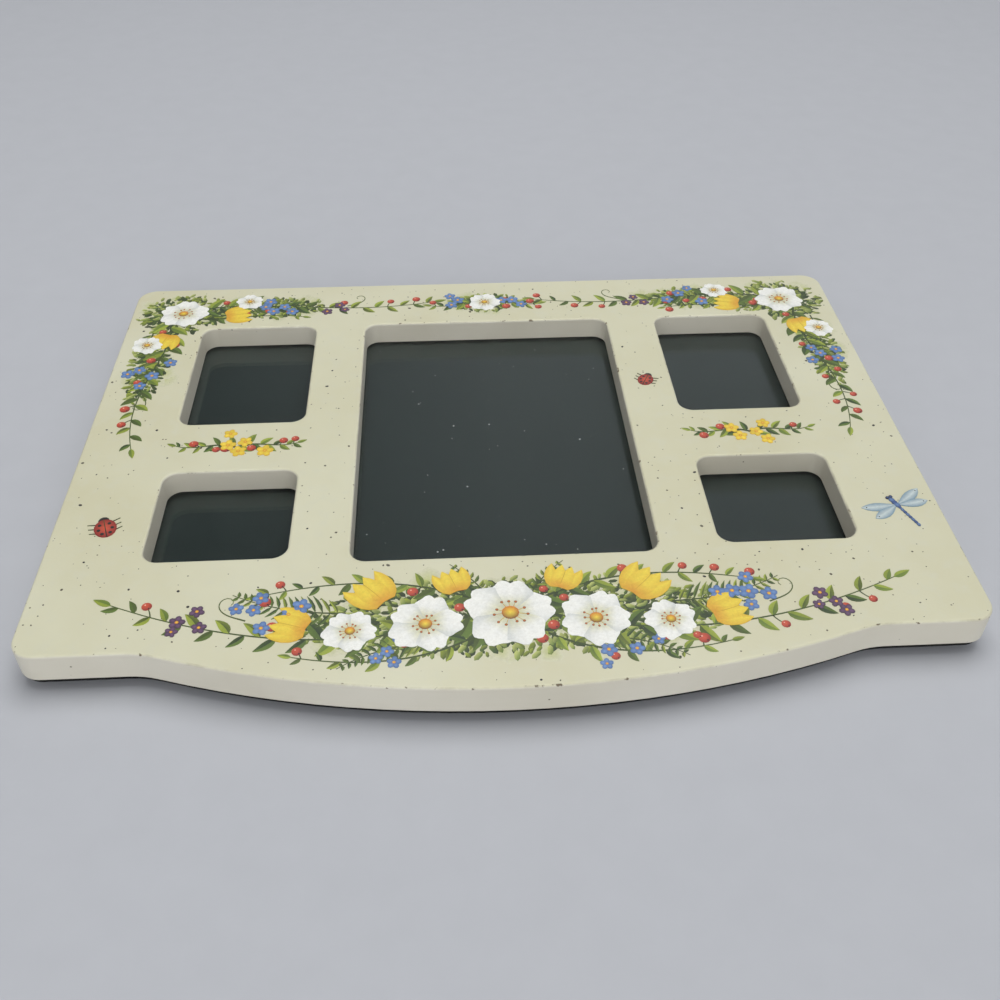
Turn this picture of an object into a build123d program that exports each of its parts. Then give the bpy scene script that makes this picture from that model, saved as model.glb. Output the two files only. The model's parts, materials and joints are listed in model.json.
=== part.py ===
from build123d import *
from dataclasses import dataclass
import os

# A collage photo frame that hangs on a wall. It lies on its back here, front face up, +Y towards its top edge.
# All sizes are in millimetres. The origin is under the middle of the frame, on the surface it lies on.

# Windows, as seen from the front
CENTRE_WINDOW_WIDTH = 120.0
CENTRE_WINDOW_HEIGHT = 167.0
SIDE_WINDOW_WIDTH = 55.6
UPPER_WINDOW_HEIGHT = 77.7
LOWER_WINDOW_HEIGHT = 52.8
WINDOW_RADIUS = 6.35

# Wood between and around the windows
COLUMN_GAP = 24.2
ROW_GAP = 33.2
SIDE_MARGIN = 38.0
TOP_MARGIN = 38.0
SHOULDER_MARGIN = 42.4

# Bottom edge: two straight shoulders, and one bow hanging between them
SHOULDER_LENGTH = 45.8
SHOULDER_BLEND_RADIUS = 35.0
BOW_DROP = 22.0

# Board and back panel
BOARD_THICKNESS = 12.3
CORNER_RADIUS = 9.0
EDGE_ROUND = 1.0
BACK_PANEL_THICKNESS = 3.0
BACK_PANEL_INSET = 1.5

# Pocket behind each window: glass, room for a print, then the backing board
REBATE_DEPTH = 1.7
SIDE_LAP = 4.2
END_LAP = 6.0
POCKET_RADIUS = 3.2
GLASS_THICKNESS = 2.0
GLASS_CORNER_CUT = 2.5
PANE_CLEARANCE = 0.5
PRINT_GAP = 0.3

# Screws and nails
SCREW_RADIUS = 1.5
SCREW_HEAD_RADIUS = 3.2
SCREW_HEAD_HEIGHT = 1.4
SCREW_HEAD_ROUND = 0.5
SCREW_BITE = 6.0
SCREW_CLEARANCE = 0.05
CROSS_LENGTH = 3.4
CROSS_WIDTH = 0.7
CROSS_DEPTH = 0.8
COUNTERSINK_RADIUS = 3.0
COUNTERSINK_ANGLE = 90.0
PANEL_SCREW_MARGIN = 10.0
NAIL_RADIUS = 0.8
NAIL_HEAD_RADIUS = 1.7
NAIL_HEAD_HEIGHT = 0.6
NAIL_LENGTH = 9.0

# Turn buttons, which swivel on their screws
BUTTON_SHEET = 1.0
BUTTON_PLAY = 0.15
BUTTON_PIVOT_RADIUS = 4.6
BUTTON_TIP_RADIUS = 3.4
BUTTON_REACH = 18.0
BUTTON_SETBACK = 7.0
BUTTON_HOLE_CLEARANCE = 0.08
BUTTON_LIP_WIDTH = 4.0
BUTTON_LIP_LENGTH = 0.9
BUTTON_LIP_HEIGHT = 0.8
CENTRE_BUTTON_SPACING = 70.0

# Sawtooth hangers, and the bumpers that match their height
HANGER_SPACING = 180.0
HANGER_DROP = 15.0
HANGER_LENGTH = 46.0
HANGER_RAISED_LENGTH = 24.0
HANGER_BEND_LENGTH = 2.0
HANGER_WIDTH = 9.0
HANGER_SHEET = 1.0
TOOTH_COUNT = 9
TOOTH_PITCH = 2.4
TOOTH_DEPTH = 2.2
BUMPER_RADIUS = 5.0
BUMPER_ROUND = 1.2
BUMPER_SIDE_MARGIN = 30.0
BUMPER_SHOULDER_MARGIN = 16.0
FLOOR_CLEARANCE = 0.3

# Levels above the surface that the frame lies on. The bumpers clear the tallest thing on the back, a screw head.
BACK_Z = FLOOR_CLEARANCE + SCREW_HEAD_HEIGHT + BUTTON_SHEET + 2 * BUTTON_PLAY
BOARD_Z = BACK_Z + BACK_PANEL_THICKNESS
LEDGE_Z = BOARD_Z + REBATE_DEPTH
FRONT_Z = BOARD_Z + BOARD_THICKNESS
BUTTON_Z = BACK_Z - BUTTON_PLAY - BUTTON_SHEET
BACKING_THICKNESS = LEDGE_Z - GLASS_THICKNESS - PRINT_GAP - BACK_Z

# Plan sizes that follow from the above
SIDE_COLUMN_HEIGHT = UPPER_WINDOW_HEIGHT + ROW_GAP + LOWER_WINDOW_HEIGHT
WINDOW_FIELD_HEIGHT = max(CENTRE_WINDOW_HEIGHT, SIDE_COLUMN_HEIGHT)
BOARD_WIDTH = CENTRE_WINDOW_WIDTH + 2 * (COLUMN_GAP + SIDE_WINDOW_WIDTH + SIDE_MARGIN)
BOARD_HEIGHT = TOP_MARGIN + WINDOW_FIELD_HEIGHT + SHOULDER_MARGIN + BOW_DROP
SIDE_X = BOARD_WIDTH / 2
TOP_Y = BOARD_HEIGHT / 2
BOW_Y = -BOARD_HEIGHT / 2
SHOULDER_Y = BOW_Y + BOW_DROP
WINDOW_TOP_Y = TOP_Y - TOP_MARGIN
SIDE_WINDOW_X = SIDE_X - SIDE_MARGIN - SIDE_WINDOW_WIDTH / 2


@dataclass
class Window:
    """One window by its middle and its size, with the pocket behind it."""

    name: str
    x: float
    y: float
    width: float
    height: float

    @property
    def pocket_width(self):
        return self.width + 2 * SIDE_LAP

    @property
    def pocket_height(self):
        return self.height + 2 * END_LAP

    @property
    def button_x(self):
        return self.pocket_width / 2 + BUTTON_SETBACK

    @property
    def button_y(self):
        return self.pocket_height / 2 + BUTTON_SETBACK


UPPER_WINDOW_Y = WINDOW_TOP_Y - UPPER_WINDOW_HEIGHT / 2
LOWER_WINDOW_Y = WINDOW_TOP_Y - UPPER_WINDOW_HEIGHT - ROW_GAP - LOWER_WINDOW_HEIGHT / 2
CENTRE_WINDOW_Y = WINDOW_TOP_Y - CENTRE_WINDOW_HEIGHT / 2
CENTRE_WINDOW = Window("centre", 0, CENTRE_WINDOW_Y, CENTRE_WINDOW_WIDTH, CENTRE_WINDOW_HEIGHT)
SIDE_WINDOWS = [
    Window("upper_left", -SIDE_WINDOW_X, UPPER_WINDOW_Y, SIDE_WINDOW_WIDTH, UPPER_WINDOW_HEIGHT),
    Window("upper_right", SIDE_WINDOW_X, UPPER_WINDOW_Y, SIDE_WINDOW_WIDTH, UPPER_WINDOW_HEIGHT),
    Window("lower_left", -SIDE_WINDOW_X, LOWER_WINDOW_Y, SIDE_WINDOW_WIDTH, LOWER_WINDOW_HEIGHT),
    Window("lower_right", SIDE_WINDOW_X, LOWER_WINDOW_Y, SIDE_WINDOW_WIDTH, LOWER_WINDOW_HEIGHT),
]
WINDOWS = [CENTRE_WINDOW] + SIDE_WINDOWS


def turn_button_places():
    """Name, pivot and heading in degrees of each turn button: over its backing board, from outside the pocket."""
    places = []
    for end, sign, heading in (("top", 1, 270), ("bottom", -1, 90)):
        for side, way in (("left", -1), ("right", 1)):
            x = CENTRE_WINDOW.x + way * CENTRE_BUTTON_SPACING / 2
            y = CENTRE_WINDOW.y + sign * CENTRE_WINDOW.button_y
            places.append((f"turn_button_centre_{end}_{side}", x, y, heading))
    for window in SIDE_WINDOWS:
        outward = 1 if window.x > 0 else -1
        for side, way in (("outer", outward), ("inner", -outward)):
            heading = 180 if way > 0 else 0
            places.append((f"turn_button_{window.name}_{side}", window.x + way * window.button_x, window.y, heading))
    return places


def panel_screw_points():
    """The back panel is screwed at its corners, halfway along its sides and top, and at the bow."""
    x = SIDE_X - PANEL_SCREW_MARGIN
    top = TOP_Y - PANEL_SCREW_MARGIN
    bottom = SHOULDER_Y + PANEL_SCREW_MARGIN
    corners = [(-x, top), (x, top), (-x, bottom), (x, bottom)]
    halfway = [(-x, (top + bottom) / 2), (x, (top + bottom) / 2), (0, top)]
    return corners + halfway + [(0, BOW_Y + PANEL_SCREW_MARGIN)]


def facing_down(points, z):
    """Places at one level whose own Z points down, away from the front, so that holes there are cut upwards."""
    return [Location((x, y, z), (180, 0, 0)) for x, y in points]


TURN_BUTTONS = turn_button_places()
BUTTON_POINTS = [(x, y) for name, x, y, heading in TURN_BUTTONS]
PANEL_SCREW_POINTS = panel_screw_points()
HANGER_Y = TOP_Y - HANGER_DROP
HANGER_XS = {"left": -HANGER_SPACING / 2, "right": HANGER_SPACING / 2}
NAIL_REACH = (HANGER_LENGTH + HANGER_RAISED_LENGTH + 2 * HANGER_BEND_LENGTH) / 4
NAIL_POINTS = [(x + way * NAIL_REACH, HANGER_Y) for x in HANGER_XS.values() for way in (-1, 1)]
BUMPER_X = SIDE_X - BUMPER_SIDE_MARGIN
BUMPER_Y = SHOULDER_Y + BUMPER_SHOULDER_MARGIN


def save(part, name):
    """Labels one piece and writes it to its own file."""
    part.label = name
    export_step(part, f"parts/{name}.step")


os.makedirs("parts", exist_ok=True)

# Plan of the board: straight top and sides, and a bow that blends into the shoulders
with BuildSketch() as board_plan:
    with BuildLine():
        bow_end = SIDE_X - SHOULDER_LENGTH
        Polyline(
            (-bow_end, SHOULDER_Y), (-SIDE_X, SHOULDER_Y), (-SIDE_X, TOP_Y),
            (SIDE_X, TOP_Y), (SIDE_X, SHOULDER_Y), (bow_end, SHOULDER_Y),
        )
        ThreePointArc((-bow_end, SHOULDER_Y), (0, BOW_Y), (bow_end, SHOULDER_Y))
    make_face()
    corners = board_plan.vertices().filter_by(lambda vertex: abs(vertex.X) > bow_end + SHOULDER_LENGTH / 2)
    fillet(corners, CORNER_RADIUS)
    blends = board_plan.vertices().filter_by(lambda vertex: abs(abs(vertex.X) - bow_end) < SHOULDER_LENGTH / 4)
    fillet(blends, SHOULDER_BLEND_RADIUS)

# Plan of the pockets behind the windows
with BuildSketch() as pocket_plan:
    for window in WINDOWS:
        with Locations((window.x, window.y)):
            RectangleRounded(window.pocket_width, window.pocket_height, POCKET_RADIUS)

# Front board, with its windows and the rebates behind them
with BuildPart() as front_board:
    with BuildSketch(Plane.XY.offset(BOARD_Z)):
        add(board_plan.sketch)
        for window in WINDOWS:
            with Locations((window.x, window.y)):
                RectangleRounded(window.width, window.height, WINDOW_RADIUS, mode=Mode.SUBTRACT)
    extrude(amount=BOARD_THICKNESS)
    fillet(front_board.faces().sort_by(Axis.Z)[-1].edges(), EDGE_ROUND)
    with BuildSketch(Plane.XY.offset(BOARD_Z)):
        add(pocket_plan.sketch)
    extrude(amount=REBATE_DEPTH, mode=Mode.SUBTRACT)
    with Locations(*facing_down(BUTTON_POINTS + PANEL_SCREW_POINTS, BOARD_Z)):
        Hole(SCREW_RADIUS + SCREW_CLEARANCE, SCREW_BITE + SCREW_CLEARANCE)
    with Locations(*facing_down(NAIL_POINTS, BOARD_Z)):
        Hole(NAIL_RADIUS + SCREW_CLEARANCE, NAIL_LENGTH - BACK_PANEL_THICKNESS)
save(front_board.part, "front_board")

# Back panel, a little smaller than the board, cut out to the pockets
with BuildPart() as back_panel:
    with BuildSketch(Plane.XY.offset(BACK_Z)):
        add(board_plan.sketch)
        offset(amount=-BACK_PANEL_INSET, mode=Mode.REPLACE)
        add(pocket_plan.sketch, mode=Mode.SUBTRACT)
    extrude(amount=BACK_PANEL_THICKNESS)
    with Locations(*facing_down(BUTTON_POINTS, BACK_Z)):
        Hole(SCREW_RADIUS + SCREW_CLEARANCE, BACK_PANEL_THICKNESS)
    with Locations(*facing_down(PANEL_SCREW_POINTS, BACK_Z)):
        CounterSinkHole(
            SCREW_RADIUS + SCREW_CLEARANCE,
            COUNTERSINK_RADIUS + SCREW_CLEARANCE,
            BACK_PANEL_THICKNESS,
            COUNTERSINK_ANGLE,
        )
    with Locations(*facing_down(NAIL_POINTS, BACK_Z)):
        Hole(NAIL_RADIUS + SCREW_CLEARANCE, BACK_PANEL_THICKNESS)
save(back_panel.part, "back_panel")

# One pane of glass and one backing board in each pocket
for window in WINDOWS:
    pane_width = window.pocket_width - 2 * PANE_CLEARANCE
    pane_height = window.pocket_height - 2 * PANE_CLEARANCE
    with BuildPart() as glass:
        with BuildSketch(Plane.XY.offset(LEDGE_Z - GLASS_THICKNESS)) as pane:
            with Locations((window.x, window.y)):
                Rectangle(pane_width, pane_height)
            chamfer(pane.vertices(), GLASS_CORNER_CUT)
        extrude(amount=GLASS_THICKNESS)
    save(glass.part, f"glass_{window.name}")
    with BuildPart() as backing:
        with BuildSketch(Plane.XY.offset(BACK_Z)):
            with Locations((window.x, window.y)):
                RectangleRounded(pane_width, pane_height, POCKET_RADIUS)
        extrude(amount=BACKING_THICKNESS)
    save(backing.part, f"backing_{window.name}")

# Turn buttons: stamped steel, a finger lip at the tip, pointing over the backing board
for name, x, y, heading in TURN_BUTTONS:
    along = Vector(1, 0, 0).rotate(Axis.Z, heading)
    sheet = Plane(origin=(x, y, BUTTON_Z), x_dir=along, z_dir=(0, 0, 1))
    with BuildPart() as turn_button:
        with BuildSketch(sheet):
            Circle(BUTTON_PIVOT_RADIUS)
            with Locations((BUTTON_REACH - BUTTON_TIP_RADIUS, 0)):
                Circle(BUTTON_TIP_RADIUS)
            make_hull()
            Circle(SCREW_RADIUS + BUTTON_HOLE_CLEARANCE, mode=Mode.SUBTRACT)
        extrude(amount=BUTTON_SHEET)
        with BuildSketch(sheet):
            with Locations((BUTTON_REACH - BUTTON_TIP_RADIUS / 2, 0)):
                Rectangle(BUTTON_LIP_LENGTH, BUTTON_LIP_WIDTH)
        extrude(amount=-BUTTON_LIP_HEIGHT)
    save(turn_button.part, name)

# The pan-head screw that a turn button swivels on, head down, its shoulder at the origin
with BuildPart() as pan_screw:
    Cylinder(SCREW_HEAD_RADIUS, SCREW_HEAD_HEIGHT, align=(Align.CENTER, Align.CENTER, Align.MAX))
    fillet(pan_screw.edges().sort_by(Axis.Z)[0], SCREW_HEAD_ROUND)
    shank_length = 2 * BUTTON_PLAY + BUTTON_SHEET + BACK_PANEL_THICKNESS + SCREW_BITE
    Cylinder(SCREW_RADIUS, shank_length, align=(Align.CENTER, Align.CENTER, Align.MIN))
    with BuildSketch(Plane.XY.offset(-SCREW_HEAD_HEIGHT)):
        Rectangle(CROSS_LENGTH, CROSS_WIDTH)
        Rectangle(CROSS_WIDTH, CROSS_LENGTH)
    extrude(amount=CROSS_DEPTH, mode=Mode.SUBTRACT)

with BuildPart() as turn_button_screws:
    with Locations(*[(x, y, FLOOR_CLEARANCE + SCREW_HEAD_HEIGHT) for x, y in BUTTON_POINTS]):
        add(pan_screw.part)
save(turn_button_screws.part, "turn_button_screws")

# The countersunk screw that holds the back panel, head down, its head flush with the origin
with BuildPart() as flat_screw:
    head_height = COUNTERSINK_RADIUS - SCREW_RADIUS
    with BuildSketch(Plane.XZ):
        with BuildLine():
            Polyline(
                (0, 0), (COUNTERSINK_RADIUS, 0), (SCREW_RADIUS, head_height),
                (SCREW_RADIUS, BACK_PANEL_THICKNESS + SCREW_BITE), (0, BACK_PANEL_THICKNESS + SCREW_BITE),
                close=True,
            )
        make_face()
    revolve(axis=Axis.Z)
    with BuildSketch(Plane.XY):
        Rectangle(CROSS_LENGTH, CROSS_WIDTH)
        Rectangle(CROSS_WIDTH, CROSS_LENGTH)
    extrude(amount=CROSS_DEPTH, mode=Mode.SUBTRACT)

with BuildPart() as panel_screws:
    with Locations(*[(x, y, BACK_Z) for x, y in PANEL_SCREW_POINTS]):
        add(flat_screw.part)
save(panel_screws.part, "panel_screws")

# Sawtooth hangers: a strip raised off the back between two nailed tabs, toothed along its lower edge
for side, x in HANGER_XS.items():
    tab_end = HANGER_LENGTH / 2
    raised_end = HANGER_RAISED_LENGTH / 2
    bend_end = raised_end + HANGER_BEND_LENGTH
    raised = -(BACK_Z - HANGER_SHEET)
    with BuildPart() as hanger:
        with BuildSketch(Plane(origin=(x, HANGER_Y, BACK_Z), x_dir=(1, 0, 0), z_dir=(0, -1, 0))):
            with BuildLine():
                Polyline(
                    (-tab_end, 0), (-bend_end, 0), (-raised_end, raised),
                    (raised_end, raised), (bend_end, 0), (tab_end, 0),
                    (tab_end, -HANGER_SHEET), (bend_end, -HANGER_SHEET), (raised_end, -BACK_Z),
                    (-raised_end, -BACK_Z), (-bend_end, -HANGER_SHEET), (-tab_end, -HANGER_SHEET),
                    close=True,
                )
            make_face()
        extrude(amount=HANGER_WIDTH / 2, both=True)
        with BuildSketch(Plane.XY):
            with Locations((x, HANGER_Y - HANGER_WIDTH / 2)):
                with GridLocations(TOOTH_PITCH, 0, TOOTH_COUNT, 1):
                    Polygon((-TOOTH_PITCH / 2, 0), (TOOTH_PITCH / 2, 0), (0, TOOTH_DEPTH), align=None)
        extrude(amount=HANGER_SHEET, mode=Mode.SUBTRACT)
        with Locations(*[(x + way * NAIL_REACH, HANGER_Y, BACK_Z) for way in (-1, 1)]):
            Hole(NAIL_RADIUS + SCREW_CLEARANCE, HANGER_SHEET)
    save(hanger.part, f"hanger_{side}")

# The nail that holds a hanger, head down, its head seated at the origin
with BuildPart() as nail:
    Cylinder(NAIL_HEAD_RADIUS, NAIL_HEAD_HEIGHT, align=(Align.CENTER, Align.CENTER, Align.MAX))
    Cylinder(NAIL_RADIUS, NAIL_LENGTH, align=(Align.CENTER, Align.CENTER, Align.MIN))

with BuildPart() as hanger_nails:
    with Locations(*[(x, y, BACK_Z - HANGER_SHEET) for x, y in NAIL_POINTS]):
        add(nail.part)
save(hanger_nails.part, "hanger_nails")

# Rubber bumpers at the lower corners, as high as the hangers
for side, x in (("left", -BUMPER_X), ("right", BUMPER_X)):
    with BuildPart() as bumper:
        with Locations((x, BUMPER_Y, 0)):
            Cylinder(BUMPER_RADIUS, BACK_Z, align=(Align.CENTER, Align.CENTER, Align.MIN))
        fillet(bumper.edges().sort_by(Axis.Z)[0], BUMPER_ROUND)
    save(bumper.part, f"bumper_{side}")
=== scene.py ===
import json
import math
import random

import bpy
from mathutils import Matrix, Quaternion, Vector


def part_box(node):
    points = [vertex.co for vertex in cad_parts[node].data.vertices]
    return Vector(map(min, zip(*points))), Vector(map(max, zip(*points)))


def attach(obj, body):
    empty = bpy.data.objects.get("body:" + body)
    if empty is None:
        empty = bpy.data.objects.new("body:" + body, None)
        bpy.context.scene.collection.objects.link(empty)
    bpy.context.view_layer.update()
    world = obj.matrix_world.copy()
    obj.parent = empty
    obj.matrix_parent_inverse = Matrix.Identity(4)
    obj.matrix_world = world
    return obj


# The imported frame. Its nodes keep their shapes and places, and get better materials below.
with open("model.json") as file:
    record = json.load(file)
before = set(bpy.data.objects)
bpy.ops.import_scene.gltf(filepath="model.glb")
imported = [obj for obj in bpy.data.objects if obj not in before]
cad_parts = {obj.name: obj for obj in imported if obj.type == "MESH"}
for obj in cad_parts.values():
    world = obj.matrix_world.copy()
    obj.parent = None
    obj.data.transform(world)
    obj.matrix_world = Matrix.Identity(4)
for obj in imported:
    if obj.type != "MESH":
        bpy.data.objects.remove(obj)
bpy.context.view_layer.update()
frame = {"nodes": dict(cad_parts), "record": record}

# Places on the board, in millimetres, from a point LAYOUT_DROP below the middle of the centre window
MM = 0.001
LAYOUT_DROP = 14.55
PANE_LOW, PANE_HIGH = [Vector(corner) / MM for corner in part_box("glass_centre")]
LAYOUT_POINT = Vector((0, (PANE_LOW.y + PANE_HIGH.y) / 2 - LAYOUT_DROP, 0))
BOARD_LOW, BOARD_HIGH = [Vector(corner) / MM - LAYOUT_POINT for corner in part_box("front_board")]
FRONT = BOARD_HIGH.z
SHOULDER_LENGTH = 45.8
BOW_DROP = 22.0
BOW_HALF = BOARD_HIGH.x - SHOULDER_LENGTH
BOW_RADIUS = (BOW_HALF ** 2 + BOW_DROP ** 2) / (2 * BOW_DROP)

# The windows are a little larger than the clear boxes that the record states inside them
WINDOW_GROWTH = 1.96
WINDOWS = []
for opening in frame["record"]["physics"]["openings"]:
    low, high = [Vector(corner) / MM - LAYOUT_POINT for corner in opening["box_m"]]
    grown = Vector((WINDOW_GROWTH, WINDOW_GROWTH, 0))
    WINDOWS.append((low - grown, high + grown))

# How high each layer of paint lies, under the next one up, and how far strokes are sunk into the board
PAINT_SUNK = 0.02
SPECK_LIFT = 0.012
WASH_LIFT = 0.015
DAB_LIFT = 0.04
STEM_LIFT = 0.085
LEAF_LIFT = 0.1
BERRY_LIFT = 0.155
BLOOM_LIFT = 0.215
BLOSSOM_LIFT = 0.285
HEART_LIFT = 0.38

# How far a stroke's end bows out, how high a dot's middle stands above its rim, and how far paint stays
# from the board's edges and windows
END_BOW = 0.04
DOT_DOME = 0.02
EDGE_MARGIN = 1.8

# How thick stems and fine lines are at the root and at the tip
BRANCH_STEM = (1.1, 0.35)
BERRY_STALK = (0.5, 0.35)
FERN_STEM = (0.7, 0.25)
TENDRIL_STEM = (0.6, 0.25)
STAMEN_STEM = (0.22, 0.18)
TULIP_VEIN = (0.3, 0.12)
LADYBIRD_LEG = (0.4, 0.25)
LADYBIRD_SEAM = (0.45, 0.3)

# Other sizes of the painted flowers: a pair gives the smallest and the largest
LEAF_ROOT = 0.07
FERN_PAIR_SPACING = 2.6
FERN_LEAFLET_WIDTH = 1.3
BERRY_RADII = (1.6, 2.3)
BERRY_ROOM = 4.5
WASH_RADII = (4.0, 7.5)
DAB_LENGTHS = (2.8, 5.4)

# Scattered specks and dust: how many, their smallest and largest radius, how high dust lies on the glass,
# and how far it stays from the window's edges
SPECK_COUNT = 640
SPECK_SMALLEST = 0.15
SPECK_LARGEST = 0.6
DUST_COUNT = 70
DUST_SMALLEST = 0.1
DUST_LARGEST = 0.42
DUST_LIFT = 0.03
DUST_INSET = 3.0

# Seeds of the random numbers
FLOWER_SEED = 11
SPECK_SEED = 5
DUST_SEED = 8

# Relief of the materials, in metres
PAINT_RELIEF = 0.00006
PANEL_RELIEF = 0.00008
CARD_RELIEF = 0.00001
ZINC_RELIEF = 0.00002
RUBBER_RELIEF = 0.00005
PIGMENT_RELIEF = 0.00004

# Table, lamps and camera, in metres
TABLE_SIZE = 6.0
TABLE_FADE_START = 0.8
TABLE_FADE_END = 2.6

# Each lamp's name, place, width and power
LAMPS = [
    ("key", (0.1, 0.3, 1.7), 1.4, 19.0),
    ("front", (-0.15, -1.7, 0.5), 1.0, 12.5),
    ("left", (-1.5, 0.1, 0.8), 1.0, 2.4),
]

# The camera that took the photograph, solved from the frame's own straight edges.
# Its lens and sensor are in millimetres.
CAMERA_PLACE = Vector((-0.0195, -0.3664, 0.3102))
CAMERA_AIM = Vector((-0.0004, -0.0382, 0.0183))
CAMERA_ROLL = math.radians(0.284)
CAMERA_LENS = 38.83
CAMERA_SENSOR = 36.0
CAMERA_NEAR = 0.01


def tone(red, green, blue):
    """A colour written as it should look, 0 to 255, as the linear values that Blender takes."""
    shares = [part / 255 for part in (red, green, blue)]
    return tuple(s / 12.92 if s <= 0.04045 else ((s + 0.055) / 1.055) ** 2.4 for s in shares)


def blend(low, high, share):
    """A colour part of the way from low to high."""
    share = min(max(share, 0.0), 1.0)
    return tuple(a + (b - a) * share for a, b in zip(low, high))


# Shader nodes
class Patterns:
    """Short ways to add nodes to a material or to the world. Sizes are in metres."""

    def __init__(self, owner):
        owner.use_nodes = True
        self.nodes = owner.node_tree.nodes
        self.links = owner.node_tree.links
        self.coordinates = self.nodes.new("ShaderNodeTexCoord").outputs

    def join(self, value, socket):
        """Feeds a socket from a node's output, or sets it to a plain value."""
        if isinstance(value, bpy.types.NodeSocket):
            self.links.new(value, socket)
        else:
            socket.default_value = value

    def noise(self, scale, detail=3.0, roughness=0.5, stretch=(1, 1, 1)):
        """Cloudy noise from 0 to 1."""
        mapping = self.nodes.new("ShaderNodeMapping")
        mapping.inputs["Scale"].default_value = stretch
        self.links.new(self.coordinates["Object"], mapping.inputs["Vector"])
        node = self.nodes.new("ShaderNodeTexNoise")
        node.inputs["Scale"].default_value = scale
        node.inputs["Detail"].default_value = detail
        node.inputs["Roughness"].default_value = roughness
        self.links.new(mapping.outputs["Vector"], node.inputs["Vector"])
        return node.outputs["Fac"]

    def dots(self, scale):
        """Distance to scattered points, in cells of 1 / scale metres, and a random number for each cell."""
        node = self.nodes.new("ShaderNodeTexVoronoi")
        node.inputs["Scale"].default_value = scale
        self.links.new(self.coordinates["Object"], node.inputs["Vector"])
        return node.outputs["Distance"], self.split(node.outputs["Color"])[0]

    def split(self, vector):
        """The three parts of a vector or colour."""
        node = self.nodes.new("ShaderNodeSeparateXYZ")
        self.links.new(vector, node.inputs["Vector"])
        return node.outputs["X"], node.outputs["Y"], node.outputs["Z"]

    def normal_up(self):
        """How far the surface faces up: 1 on the front face, 0 on its edges."""
        geometry = self.nodes.new("ShaderNodeNewGeometry")
        return self.split(geometry.outputs["Normal"])[2]

    def remap(self, value, from_low, from_high, to_low=0.0, to_high=1.0):
        """A value moved from one range to another, kept inside it."""
        node = self.nodes.new("ShaderNodeMapRange")
        self.links.new(value, node.inputs["Value"])
        limits = {"From Min": from_low, "From Max": from_high, "To Min": to_low, "To Max": to_high}
        for socket, number in limits.items():
            node.inputs[socket].default_value = number
        return node.outputs["Result"]

    def times(self, first, second):
        """One value times another."""
        node = self.nodes.new("ShaderNodeMath")
        node.operation = "MULTIPLY"
        self.join(first, node.inputs[0])
        self.join(second, node.inputs[1])
        return node.outputs["Value"]

    def mix(self, share, low, high, kind="MIX"):
        """A colour between low and high, or low darkened by high."""
        node = self.nodes.new("ShaderNodeMix")
        node.data_type = "RGBA"
        node.blend_type = kind
        self.join(share, node.inputs[0])
        for colour, socket in ((low, node.inputs[6]), (high, node.inputs[7])):
            self.join(colour if isinstance(colour, bpy.types.NodeSocket) else (*colour, 1.0), socket)
        return node.outputs[2]

    def seen(self):
        """1 where the eye, a reflection or clear glass sees something, and 0 where it only gives light."""
        path = self.nodes.new("ShaderNodeLightPath").outputs
        total = path["Is Camera Ray"]
        for kind in ("Is Glossy Ray", "Is Transmission Ray"):
            node = self.nodes.new("ShaderNodeMath")
            node.use_clamp = True
            self.links.new(total, node.inputs[0])
            self.links.new(path[kind], node.inputs[1])
            total = node.outputs["Value"]
        return total


class Surface(Patterns):
    """A material on a Principled shader."""

    def __init__(self, name, **values):
        self.material = bpy.data.materials.new(name)
        super().__init__(self.material)
        self.shader = self.nodes["Principled BSDF"]
        for socket, value in values.items():
            self.shader.inputs[socket.replace("_", " ")].default_value = value

    def bump(self, height, distance):
        """Fine relief, distance in metres."""
        node = self.nodes.new("ShaderNodeBump")
        node.inputs["Distance"].default_value = distance
        self.links.new(height, node.inputs["Height"])
        self.links.new(node.outputs["Normal"], self.shader.inputs["Normal"])

    def colour(self, value):
        self.join(value, self.shader.inputs["Base Color"])

    def roughness(self, value):
        self.join(value, self.shader.inputs["Roughness"])

    def fade(self, share, colour):
        """Lets an even colour, which needs no light, take over from the shader."""
        even = self.nodes.new("ShaderNodeEmission")
        even.inputs["Color"].default_value = (*colour, 1.0)
        both = self.nodes.new("ShaderNodeMixShader")
        self.links.new(share, both.inputs["Fac"])
        self.links.new(self.shader.outputs["BSDF"], both.inputs[1])
        self.links.new(even.outputs["Emission"], both.inputs[2])
        self.links.new(both.outputs["Shader"], self.nodes["Material Output"].inputs["Surface"])


# Colours of the materials
GROUND = tone(212, 210, 183)
GROUND_DEEP = tone(204, 200, 168)
GROUND_PATCH = tone(207, 206, 184)
EDGE_PALE = tone(214, 210, 196)
EDGE_DEEP = tone(204, 199, 182)
FINE_SPECK = tone(104, 98, 80)
GRIME = tone(150, 141, 122)
BARE_WOOD = tone(104, 92, 70)
PANEL_BLACK = tone(14, 14, 15)
PANEL_DUST = tone(38, 37, 35)
CARD_DEEP = tone(46, 52, 51)
CARD_PALE = tone(53, 59, 58)
GLASS_TINT = (0.9, 0.97, 0.955, 1.0)
ZINC_GREY = tone(186, 186, 182)
ZINC_PALE = tone(206, 204, 194)
RUBBER_BLACK = tone(28, 28, 29)
RUBBER_DUST = tone(58, 57, 55)
BRUSH_STREAK = tone(190, 188, 176)
TABLE_GREY = tone(182, 184, 189)
TABLE_PALE = tone(188, 190, 195)

# The room's light, from its dim side to its pale walls
ROOM_COLOUR = (0.95, 0.97, 1.0)
ROOM_LEVELS = (0.12, 0.52, 0.75)
ROOM_DIM, ROOM_LIT, ROOM_PALE = [tuple(part * level for part in ROOM_COLOUR) for level in ROOM_LEVELS]


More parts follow.
